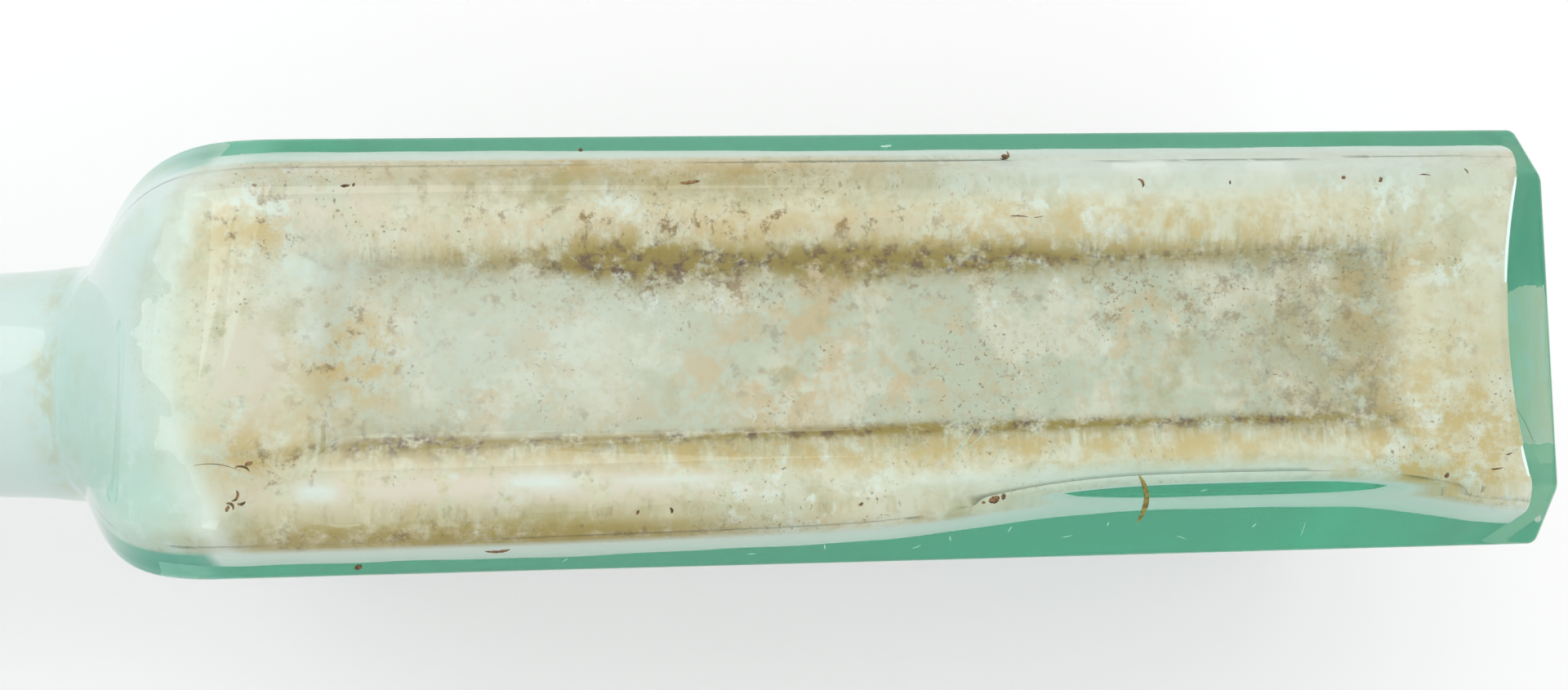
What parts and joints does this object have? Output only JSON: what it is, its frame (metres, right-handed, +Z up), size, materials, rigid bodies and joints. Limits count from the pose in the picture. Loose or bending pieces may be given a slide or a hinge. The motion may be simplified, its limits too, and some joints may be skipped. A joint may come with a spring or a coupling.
{
  "type": "antique glass bottle",
  "caption": "Hollow rectangular aqua glass bottle with bevelled edges, sunken panels, a round neck with an applied lip and a cork that pulls out, lying on a narrow side.",
  "frame": {"origin": "centre of the lying bottle's bounding box, on the surface that it lies on", "axes": "+X along the bottle from its mouth towards its base, +Y across its narrow depth, +Z up across its width"},
  "size_m": [0.18, 0.033, 0.0572],
  "materials": {
    "aqua_glass": "old aqua glass, glossy, slightly wavy",
    "lip_glass": "hand-tooled aqua glass, glossy",
    "cork": "dry aged cork, matte",
    "dried_residue": "thin chalky cream deposit with brown stains, matte"
  },
  "bodies": {
    "bottle": {"bottle_glass": "aqua_glass", "applied_lip": "lip_glass", "residue_lining": "dried_residue"},
    "cork": {"cork_stopper": "cork"}
  },
  "joints": [
    {"name": "cork_pull", "type": "slide", "parent": "bottle", "child": "cork", "axis": [-1, 0, 0], "range_m": [0, 0.045]}
  ]
}
